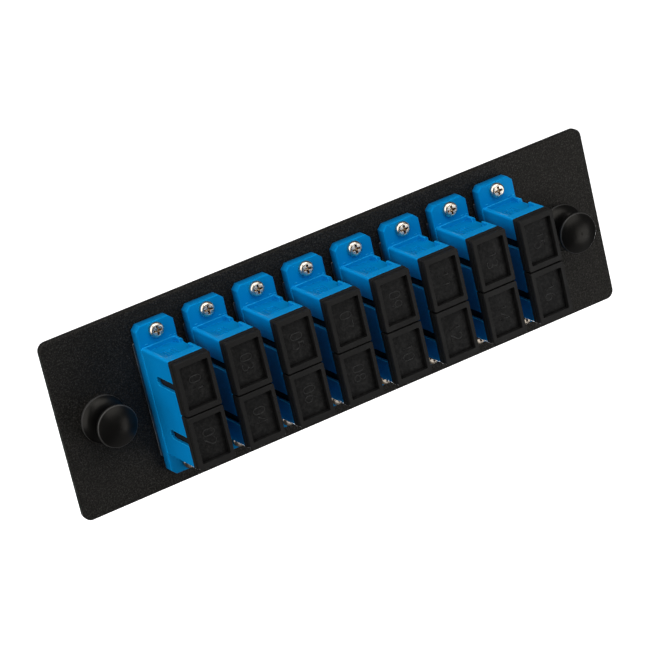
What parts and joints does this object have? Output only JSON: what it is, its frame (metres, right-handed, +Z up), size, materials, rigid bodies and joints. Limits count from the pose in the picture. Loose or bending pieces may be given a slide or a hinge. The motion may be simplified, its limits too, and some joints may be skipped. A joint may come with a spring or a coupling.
{
  "type": "fibre adapter panel",
  "caption": "Flat black steel panel carrying a row of blue duplex fibre through-adapters with dust caps, held in an enclosure by a push-pull plunger latch at each end.",
  "frame": {"origin": "centre of the plate's rear seating face", "axes": "+X along the plate, -Y out of its front, +Z up the plate"},
  "size_m": [0.1412, 0.0342, 0.0424],
  "materials": {
    "plate": "black fine-texture powder coat",
    "shell": "satin moulded blue",
    "cap": "matte moulded black",
    "insert": "moulded natural",
    "ceramic": "polished zirconia ceramic",
    "clip": "bright spring steel",
    "fastener": "nickel plated",
    "latch": "satin moulded black nylon"
  },
  "bodies": {
    "root": {"panel_plate": "plate", "adapter_1_front_shell": "shell", "adapter_1_rear_shell": "shell", "adapter_2_front_shell": "shell", "adapter_2_rear_shell": "shell", "adapter_3_front_shell": "shell", "adapter_3_rear_shell": "shell", "adapter_4_front_shell": "shell", "adapter_4_rear_shell": "shell", "adapter_5_front_shell": "shell", "adapter_5_rear_shell": "shell", "adapter_6_front_shell": "shell", "adapter_6_rear_shell": "shell", "adapter_7_front_shell": "shell", "adapter_7_rear_shell": "shell", "adapter_8_front_shell": "shell", "adapter_8_rear_shell": "shell", "latch_inserts": "insert", "alignment_sleeves": "ceramic", "spring_clips": "clip", "screws": "fastener", "nuts": "fastener", "grommet_left": "latch", "grommet_right": "latch"},
    "plunger_left": {"plunger_left": "latch"},
    "plunger_right": {"plunger_right": "latch"},
    "front_cap_1_upper": {"front_cap_1_upper": "cap"},
    "front_cap_1_lower": {"front_cap_1_lower": "cap"},
    "rear_cap_1_upper": {"rear_cap_1_upper": "cap"},
    "rear_cap_1_lower": {"rear_cap_1_lower": "cap"},
    "front_cap_2_upper": {"front_cap_2_upper": "cap"},
    "front_cap_2_lower": {"front_cap_2_lower": "cap"},
    "rear_cap_2_upper": {"rear_cap_2_upper": "cap"},
    "rear_cap_2_lower": {"rear_cap_2_lower": "cap"},
    "front_cap_3_upper": {"front_cap_3_upper": "cap"},
    "front_cap_3_lower": {"front_cap_3_lower": "cap"},
    "rear_cap_3_upper": {"rear_cap_3_upper": "cap"},
    "rear_cap_3_lower": {"rear_cap_3_lower": "cap"},
    "front_cap_4_upper": {"front_cap_4_upper": "cap"},
    "front_cap_4_lower": {"front_cap_4_lower": "cap"},
    "rear_cap_4_upper": {"rear_cap_4_upper": "cap"},
    "rear_cap_4_lower": {"rear_cap_4_lower": "cap"},
    "front_cap_5_upper": {"front_cap_5_upper": "cap"},
    "front_cap_5_lower": {"front_cap_5_lower": "cap"},
    "rear_cap_5_upper": {"rear_cap_5_upper": "cap"},
    "rear_cap_5_lower": {"rear_cap_5_lower": "cap"},
    "front_cap_6_upper": {"front_cap_6_upper": "cap"},
    "front_cap_6_lower": {"front_cap_6_lower": "cap"},
    "rear_cap_6_upper": {"rear_cap_6_upper": "cap"},
    "rear_cap_6_lower": {"rear_cap_6_lower": "cap"},
    "front_cap_7_upper": {"front_cap_7_upper": "cap"},
    "front_cap_7_lower": {"front_cap_7_lower": "cap"},
    "rear_cap_7_upper": {"rear_cap_7_upper": "cap"},
    "rear_cap_7_lower": {"rear_cap_7_lower": "cap"},
    "front_cap_8_upper": {"front_cap_8_upper": "cap"},
    "front_cap_8_lower": {"front_cap_8_lower": "cap"},
    "rear_cap_8_upper": {"rear_cap_8_upper": "cap"},
    "rear_cap_8_lower": {"rear_cap_8_lower": "cap"}
  },
  "joints": [
    {"name": "plunger_left_push", "type": "slide", "parent": "root", "child": "plunger_left", "axis": [0, 1, 0], "range_m": [0, 0.0036]},
    {"name": "plunger_right_push", "type": "slide", "parent": "root", "child": "plunger_right", "axis": [0, 1, 0], "range_m": [0, 0.0036]},
    {"name": "front_cap_1_upper_pull", "type": "slide", "parent": "root", "child": "front_cap_1_upper", "axis": [0, -1, 0], "range_m": [0, 0.012]},
    {"name": "front_cap_1_lower_pull", "type": "slide", "parent": "root", "child": "front_cap_1_lower", "axis": [0, -1, 0], "range_m": [0, 0.012]},
    {"name": "rear_cap_1_upper_pull", "type": "slide", "parent": "root", "child": "rear_cap_1_upper", "axis": [0, 1, 0], "range_m": [0, 0.012]},
    {"name": "rear_cap_1_lower_pull", "type": "slide", "parent": "root", "child": "rear_cap_1_lower", "axis": [0, 1, 0], "range_m": [0, 0.012]},
    {"name": "front_cap_2_upper_pull", "type": "slide", "parent": "root", "child": "front_cap_2_upper", "axis": [0, -1, 0], "range_m": [0, 0.012]},
    {"name": "front_cap_2_lower_pull", "type": "slide", "parent": "root", "child": "front_cap_2_lower", "axis": [0, -1, 0], "range_m": [0, 0.012]},
    {"name": "rear_cap_2_upper_pull", "type": "slide", "parent": "root", "child": "rear_cap_2_upper", "axis": [0, 1, 0], "range_m": [0, 0.012]},
    {"name": "rear_cap_2_lower_pull", "type": "slide", "parent": "root", "child": "rear_cap_2_lower", "axis": [0, 1, 0], "range_m": [0, 0.012]},
    {"name": "front_cap_3_upper_pull", "type": "slide", "parent": "root", "child": "front_cap_3_upper", "axis": [0, -1, 0], "range_m": [0, 0.012]},
    {"name": "front_cap_3_lower_pull", "type": "slide", "parent": "root", "child": "front_cap_3_lower", "axis": [0, -1, 0], "range_m": [0, 0.012]},
    {"name": "rear_cap_3_upper_pull", "type": "slide", "parent": "root", "child": "rear_cap_3_upper", "axis": [0, 1, 0], "range_m": [0, 0.012]},
    {"name": "rear_cap_3_lower_pull", "type": "slide", "parent": "root", "child": "rear_cap_3_lower", "axis": [0, 1, 0], "range_m": [0, 0.012]},
    {"name": "front_cap_4_upper_pull", "type": "slide", "parent": "root", "child": "front_cap_4_upper", "axis": [0, -1, 0], "range_m": [0, 0.012]},
    {"name": "front_cap_4_lower_pull", "type": "slide", "parent": "root", "child": "front_cap_4_lower", "axis": [0, -1, 0], "range_m": [0, 0.012]},
    {"name": "rear_cap_4_upper_pull", "type": "slide", "parent": "root", "child": "rear_cap_4_upper", "axis": [0, 1, 0], "range_m": [0, 0.012]},
    {"name": "rear_cap_4_lower_pull", "type": "slide", "parent": "root", "child": "rear_cap_4_lower", "axis": [0, 1, 0], "range_m": [0, 0.012]},
    {"name": "front_cap_5_upper_pull", "type": "slide", "parent": "root", "child": "front_cap_5_upper", "axis": [0, -1, 0], "range_m": [0, 0.012]},
    {"name": "front_cap_5_lower_pull", "type": "slide", "parent": "root", "child": "front_cap_5_lower", "axis": [0, -1, 0], "range_m": [0, 0.012]},
    {"name": "rear_cap_5_upper_pull", "type": "slide", "parent": "root", "child": "rear_cap_5_upper", "axis": [0, 1, 0], "range_m": [0, 0.012]},
    {"name": "rear_cap_5_lower_pull", "type": "slide", "parent": "root", "child": "rear_cap_5_lower", "axis": [0, 1, 0], "range_m": [0, 0.012]},
    {"name": "front_cap_6_upper_pull", "type": "slide", "parent": "root", "child": "front_cap_6_upper", "axis": [0, -1, 0], "range_m": [0, 0.012]},
    {"name": "front_cap_6_lower_pull", "type": "slide", "parent": "root", "child": "front_cap_6_lower", "axis": [0, -1, 0], "range_m": [0, 0.012]},
    {"name": "rear_cap_6_upper_pull", "type": "slide", "parent": "root", "child": "rear_cap_6_upper", "axis": [0, 1, 0], "range_m": [0, 0.012]},
    {"name": "rear_cap_6_lower_pull", "type": "slide", "parent": "root", "child": "rear_cap_6_lower", "axis": [0, 1, 0], "range_m": [0, 0.012]},
    {"name": "front_cap_7_upper_pull", "type": "slide", "parent": "root", "child": "front_cap_7_upper", "axis": [0, -1, 0], "range_m": [0, 0.012]},
    {"name": "front_cap_7_lower_pull", "type": "slide", "parent": "root", "child": "front_cap_7_lower", "axis": [0, -1, 0], "range_m": [0, 0.012]},
    {"name": "rear_cap_7_upper_pull", "type": "slide", "parent": "root", "child": "rear_cap_7_upper", "axis": [0, 1, 0], "range_m": [0, 0.012]},
    {"name": "rear_cap_7_lower_pull", "type": "slide", "parent": "root", "child": "rear_cap_7_lower", "axis": [0, 1, 0], "range_m": [0, 0.012]},
    {"name": "front_cap_8_upper_pull", "type": "slide", "parent": "root", "child": "front_cap_8_upper", "axis": [0, -1, 0], "range_m": [0, 0.012]},
    {"name": "front_cap_8_lower_pull", "type": "slide", "parent": "root", "child": "front_cap_8_lower", "axis": [0, -1, 0], "range_m": [0, 0.012]},
    {"name": "rear_cap_8_upper_pull", "type": "slide", "parent": "root", "child": "rear_cap_8_upper", "axis": [0, 1, 0], "range_m": [0, 0.012]},
    {"name": "rear_cap_8_lower_pull", "type": "slide", "parent": "root", "child": "rear_cap_8_lower", "axis": [0, 1, 0], "range_m": [0, 0.012]}
  ]
}
